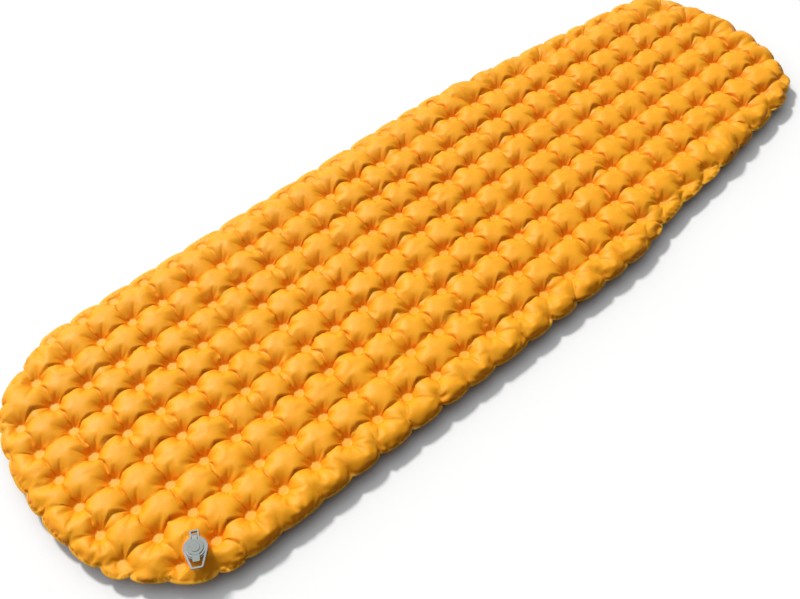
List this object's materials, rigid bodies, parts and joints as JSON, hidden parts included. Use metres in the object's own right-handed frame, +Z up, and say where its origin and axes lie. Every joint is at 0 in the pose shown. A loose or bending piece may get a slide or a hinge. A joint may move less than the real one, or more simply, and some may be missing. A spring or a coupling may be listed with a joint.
{
  "type": "inflatable sleeping pad",
  "caption": "Tapered inflatable camping mattress: two fabric sheets joined by a grid of round weld dots, with a flat two-stage air valve at one head corner.",
  "frame": {"origin": "on the floor under the middle of the pad's bounding box", "axes": "+X along the pad from the wide head end to the narrow foot end, +Y across the pad away from the valve's side, +Z up"},
  "size_m": [1.83, 0.627, 0.0592],
  "materials": {
    "fabric_top": "satin coated nylon, fine weave",
    "fabric_bottom": "satin coated nylon, fine weave",
    "valve_grey": "satin moulded polyurethane",
    "valve_cap": "satin moulded polyurethane",
    "silicone": "soft translucent rubber"
  },
  "bodies": {
    "pad": {"top_sheet": "fabric_top", "bottom_sheet": "fabric_bottom", "valve_base": "valve_grey"},
    "plug": {"deflate_plug": "valve_grey", "plug_strap": "valve_grey", "plug_seal": "silicone"},
    "cap": {"inflate_cap": "valve_cap", "cap_strap": "valve_cap"},
    "diaphragm": {"check_diaphragm": "silicone"}
  },
  "joints": [
    {"name": "plug_hinge", "type": "hinge", "parent": "pad", "child": "plug", "pos_m": [-0.73758, -0.22668, 0.0556], "axis": [-0.8704, 0.4924, 0], "range_deg": [0, 75]},
    {"name": "cap_hinge", "type": "hinge", "parent": "plug", "child": "cap", "pos_m": [-0.74122, -0.23312, 0.0578], "axis": [-0.8704, 0.4924, 0], "range_deg": [0, 105]},
    {"name": "diaphragm_lift", "type": "slide", "parent": "plug", "child": "diaphragm", "axis": [0, 0, -1], "range_m": [0, 0.0015]}
  ]
}
